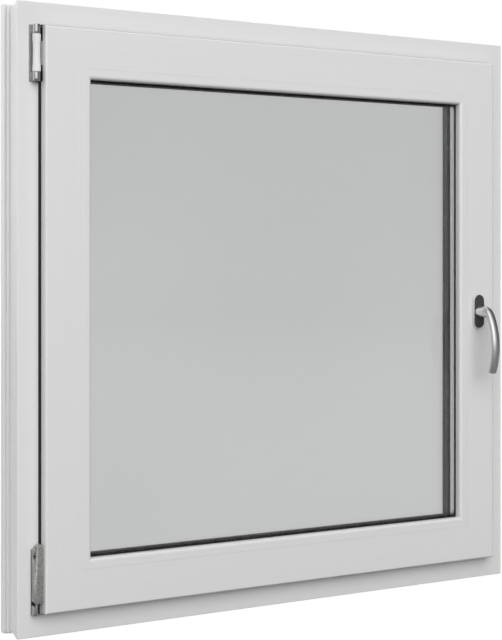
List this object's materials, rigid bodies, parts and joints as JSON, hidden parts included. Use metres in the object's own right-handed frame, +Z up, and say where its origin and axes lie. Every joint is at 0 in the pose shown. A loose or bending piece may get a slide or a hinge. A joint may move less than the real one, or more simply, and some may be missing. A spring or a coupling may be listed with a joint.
{
  "type": "tilt and turn window",
  "caption": "Square plastic tilt and turn window, closed: mitred outer frame, lipped sash with glazing beads, double glazing, side hinges and a bowed lever handle that turns.",
  "frame": {"origin": "on the flat bearing rib under the bottom frame member, at the middle of the window's width and of the rib's depth", "axes": "+X to the right seen from the room, +Y towards outdoors, +Z up; the room side faces -Y"},
  "size_m": [1, 0.1453, 1],
  "materials": {
    "white_pvc": "smooth extruded rigid PVC, softly glossy, mitre welded",
    "gasket_rubber": "matt black extruded rubber",
    "glass": "clear float glass with a faint grey tint",
    "spacer_aluminium": "mill finished aluminium profile",
    "satin_handle_metal": "satin silver anodised aluminium",
    "rosette_plastic": "dark grey fine grained plastic",
    "zinc_steel": "zinc plated steel",
    "chrome_cap": "bright plated steel",
    "sleeve_plastic": "moulded white plastic",
    "zinc_die_cast": "mottled grey zinc die casting"
  },
  "bodies": {
    "window": {"frame_bottom": "white_pvc", "frame_top": "white_pvc", "frame_left": "white_pvc", "frame_right": "white_pvc", "sash_bottom": "white_pvc", "sash_top": "white_pvc", "sash_left": "white_pvc", "sash_right": "white_pvc", "bead_bottom": "white_pvc", "bead_top": "white_pvc", "bead_left": "white_pvc", "bead_right": "white_pvc", "glass_inner_pane": "glass", "glass_outer_pane": "glass", "spacer_bar": "spacer_aluminium", "glazing_gasket_inside": "gasket_rubber", "glazing_gasket_outside": "gasket_rubber", "lip_seal": "gasket_rubber", "leg_seal": "gasket_rubber", "handle_rosette": "satin_handle_metal", "rosette_cover": "rosette_plastic", "hinge_top_cap": "chrome_cap", "hinge_bottom_cap": "chrome_cap", "stay_sleeve": "sleeve_plastic", "hinge_pin": "zinc_steel", "hinge_plate": "zinc_steel", "stay_arm": "zinc_steel", "corner_hinge": "zinc_die_cast", "corner_plate": "zinc_die_cast", "corner_bearing": "zinc_die_cast", "corner_pin": "zinc_die_cast", "edge_seal": "gasket_rubber", "bearing_stop": "zinc_die_cast", "drain_cap_left": "white_pvc", "drain_cap_right": "white_pvc"},
    "handle": {"handle_lever": "satin_handle_metal", "handle_spindle": "zinc_steel"}
  },
  "joints": [
    {"name": "handle_turn", "type": "hinge", "parent": "window", "child": "handle", "pos_m": [0.42135, -0.0783, 0.4986], "axis": [0, 1, 0], "range_deg": [0, 180]}
  ]
}
